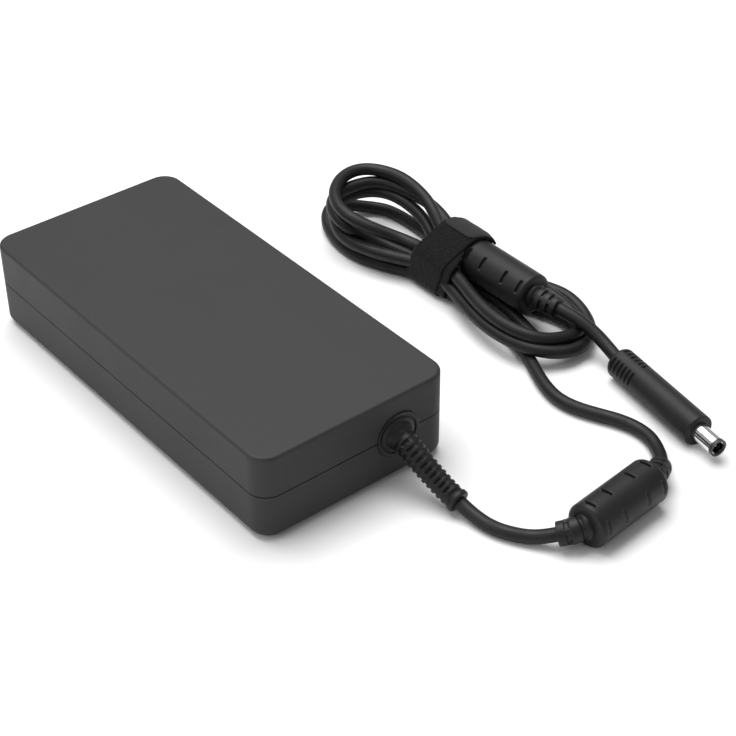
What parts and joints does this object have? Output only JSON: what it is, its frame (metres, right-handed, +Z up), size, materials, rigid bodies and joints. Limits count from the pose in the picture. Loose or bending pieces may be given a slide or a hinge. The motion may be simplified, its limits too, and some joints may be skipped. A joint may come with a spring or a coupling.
{
  "type": "laptop power adapter",
  "caption": "Flat two-part power adapter case with an appliance inlet, and a low-voltage cord with suppression beads, tied in a hank, ending in a barrel plug.",
  "frame": {"origin": "centre of the case's footprint, on the table that its rubber feet stand on", "axes": "+Z up, +Y towards the end with the mains inlet, +X towards the side where the hank of cord lies; the cord leaves the -Y end"},
  "size_m": [0.1907, 0.2695, 0.0388],
  "materials": {
    "case_plastic": "fine spark texture, matt",
    "foot_rubber": "matt",
    "label_film": "satin blank film",
    "inlet_plastic": "satin",
    "plated_brass": "nickel plated",
    "wire_brown": "satin",
    "wire_blue": "satin",
    "wire_green": "satin",
    "wire_red": "satin",
    "wire_black": "satin",
    "circuit_board": "solder resist",
    "screw_steel": "zinc plated",
    "ceramic": "ceramic",
    "blue_resin": "dipped resin",
    "ferrite": "sintered",
    "copper_wire": "enamelled copper",
    "yellow_box": "moulded box",
    "yellow_tape": "polyester tape",
    "black_resin": "moulded resin",
    "capacitor_can": "sleeved can",
    "heatsink_aluminium": "rolled",
    "thermal_pad": "silicone",
    "insulation_film": "polyester film",
    "relief_plastic": "satin moulded",
    "cord_jacket": "satin jacket",
    "bead_plastic": "satin moulded",
    "plug_plastic": "satin moulded",
    "chrome_plate": "nickel plate",
    "strap_fabric": "hook and loop tape",
    "strap_tab_fabric": "woven tape"
  },
  "bodies": {
    "adapter": {"top_cover": "case_plastic", "bottom_cover": "case_plastic", "rubber_feet": "foot_rubber", "rating_label": "label_film", "ac_inlet_housing": "inlet_plastic", "ac_line_pin": "plated_brass", "ac_neutral_pin": "plated_brass", "ac_earth_pin": "plated_brass", "ac_line_wire": "wire_brown", "ac_neutral_wire": "wire_blue", "ac_earth_wire": "wire_green", "main_board": "circuit_board", "board_screws": "screw_steel", "fuse": "ceramic", "varistor": "blue_resin", "common_mode_choke_core": "ferrite", "common_mode_choke_windings": "copper_wire", "x_capacitor": "yellow_box", "y_capacitors": "blue_resin", "bridge_rectifier": "black_resin", "input_choke_core": "ferrite", "input_choke_winding": "copper_wire", "bulk_capacitors": "capacitor_can", "primary_heatsink": "heatsink_aluminium", "primary_transistors": "black_resin", "secondary_heatsink": "heatsink_aluminium", "secondary_transistors": "black_resin", "heatsink_screws": "screw_steel", "thermal_pads": "thermal_pad", "transformer_core": "ferrite", "transformer_bobbin": "black_resin", "transformer_winding": "yellow_tape", "output_choke_core": "ferrite", "output_choke_winding": "copper_wire", "output_capacitors": "capacitor_can", "control_board": "circuit_board", "control_chips": "black_resin", "optocouplers": "black_resin", "lower_heat_spreader": "heatsink_aluminium", "lower_insulation_sheet": "insulation_film", "upper_heat_spreader": "heatsink_aluminium", "upper_insulation_sheet": "insulation_film", "dc_positive_wire": "wire_red", "dc_negative_wire": "wire_black", "dc_signal_wire": "wire_blue", "dc_strain_relief": "relief_plastic", "cord_lead": "cord_jacket", "cord_hank": "cord_jacket", "cord_tail": "cord_jacket", "bead_1_cover": "bead_plastic", "bead_1_core": "ferrite", "bead_2_cover": "bead_plastic", "bead_2_core": "ferrite", "plug_body": "plug_plastic", "plug_barrel": "chrome_plate", "plug_insulator": "black_resin", "plug_inner_sleeve": "chrome_plate", "plug_centre_pin": "chrome_plate", "strap_band": "strap_fabric"},
    "strap_free_end": {"strap_tab": "strap_tab_fabric"}
  },
  "joints": [
    {"name": "strap_peel", "type": "hinge", "parent": "adapter", "child": "strap_free_end", "pos_m": [0.13504, -0.0087, 0.02112], "axis": [0, 1, 0], "range_deg": [0, 70]}
  ]
}
